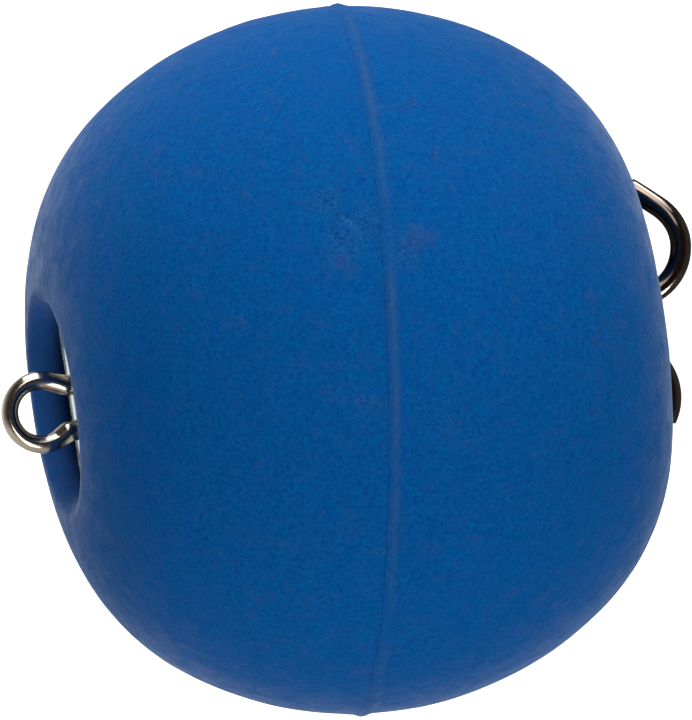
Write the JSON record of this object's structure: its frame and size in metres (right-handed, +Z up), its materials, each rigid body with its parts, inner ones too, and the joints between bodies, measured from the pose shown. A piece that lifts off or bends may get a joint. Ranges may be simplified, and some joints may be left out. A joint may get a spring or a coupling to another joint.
{
  "type": "ball weight",
  "caption": "Rubber-jacketed ball weight that turns on a through-wire clip, with a line eye at one pole and clinched wire ears at the other.",
  "frame": {"origin": "centre of the line eye that the ball hangs from", "axes": "+Z up along the wire towards the line eye, X across the flat of the wire clip, Y square to the clip's plane"},
  "size_m": [0.0452, 0.0454, 0.0458],
  "materials": {
    "cast_core": "dull cast metal, hidden inside the jacket",
    "blue_jacket": "matte, finely speckled blue with a chalky bloom",
    "bond_line": "raised flash of the same blue",
    "sleeve_tube": "thin plain tube",
    "plated_steel": "bright plate, slightly yellow-green",
    "nickel_wire": "polished nickel with a warm tint"
  },
  "bodies": {
    "clip": {"wire_clip": "nickel_wire"},
    "bush": {"bore_sleeve": "sleeve_tube", "eye_side_plate": "plated_steel", "ear_side_plate": "plated_steel"},
    "ball": {"ball_core": "cast_core", "jacket_eye_half": "blue_jacket", "jacket_ear_half": "blue_jacket", "seam_bead": "bond_line"}
  },
  "joints": [
    {"name": "float_on_wire", "type": "slide", "parent": "clip", "child": "bush", "axis": [0, 0, 1], "range_m": [0, 0.0008]},
    {"name": "ball_spin", "type": "hinge", "parent": "bush", "child": "ball", "pos_m": [0.00042, 0, -0.02024], "axis": [0, 0, 1], "continuous": true}
  ]
}
